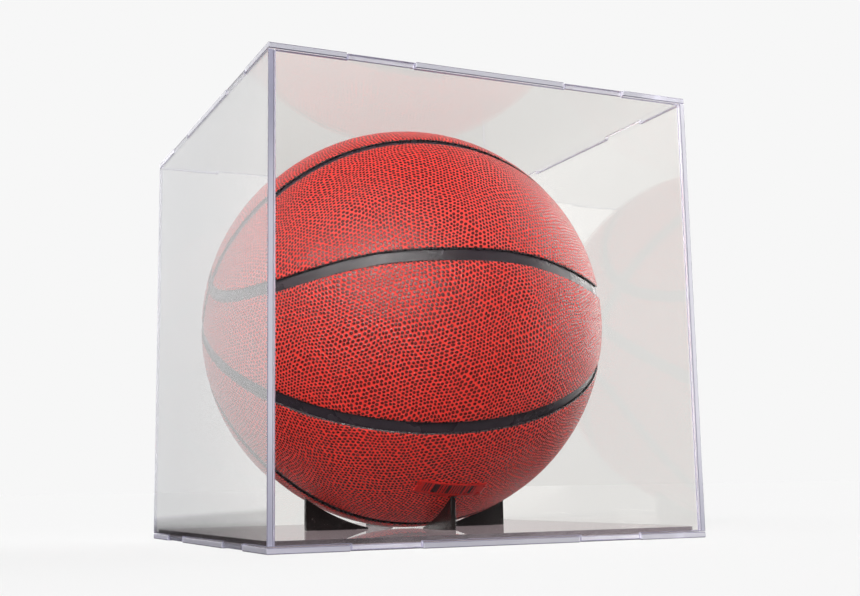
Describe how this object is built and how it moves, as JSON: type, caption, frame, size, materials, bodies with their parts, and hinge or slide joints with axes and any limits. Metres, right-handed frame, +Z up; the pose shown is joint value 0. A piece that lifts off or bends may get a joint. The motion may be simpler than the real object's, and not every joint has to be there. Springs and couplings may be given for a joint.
{
  "type": "ball display case",
  "caption": "Clear cube display case with a lift-off cover and a cradle of black ribs holding one full-size basketball.",
  "frame": {"origin": "centre of the base sheet's underside, where the case rests", "axes": "+Z up, -Y towards the front, +X to the right of a viewer facing the front"},
  "size_m": [0.254, 0.254, 0.254],
  "materials": {
    "clear_acrylic": "polished clear",
    "black_acrylic": "polished opaque black",
    "pebbled_leather": "pebbled composite, red grain with dark pits",
    "black_rubber": "smooth satin",
    "butyl_rubber": "matt",
    "printed_film": "thin printed film"
  },
  "bodies": {
    "base": {"base_plate": "clear_acrylic", "locating_plate": "clear_acrylic", "rib_front": "black_acrylic", "rib_back": "black_acrylic", "rib_left": "black_acrylic", "rib_right": "black_acrylic"},
    "cover": {"top_panel": "clear_acrylic", "front_panel": "clear_acrylic", "back_panel": "clear_acrylic", "left_panel": "clear_acrylic", "right_panel": "clear_acrylic"},
    "ball": {"ball_carcass": "black_rubber", "ball_bladder": "butyl_rubber", "ball_valve": "black_rubber", "ball_end_panel_1": "pebbled_leather", "ball_end_panel_2": "pebbled_leather", "ball_end_panel_3": "pebbled_leather", "ball_end_panel_4": "pebbled_leather", "ball_side_panel_1": "pebbled_leather", "ball_side_panel_2": "pebbled_leather", "ball_side_panel_3": "pebbled_leather", "ball_side_panel_4": "pebbled_leather", "ball_label": "printed_film"}
  },
  "joints": [
    {"name": "cover_lift", "type": "slide", "parent": "base", "child": "cover", "axis": [0, 0, 1], "range_m": [0, 0.26]},
    {"name": "ball_turn", "type": "hinge", "parent": "base", "child": "ball", "pos_m": [0, 0, 0.1284], "axis": [0, 0, 1], "continuous": true}
  ]
}
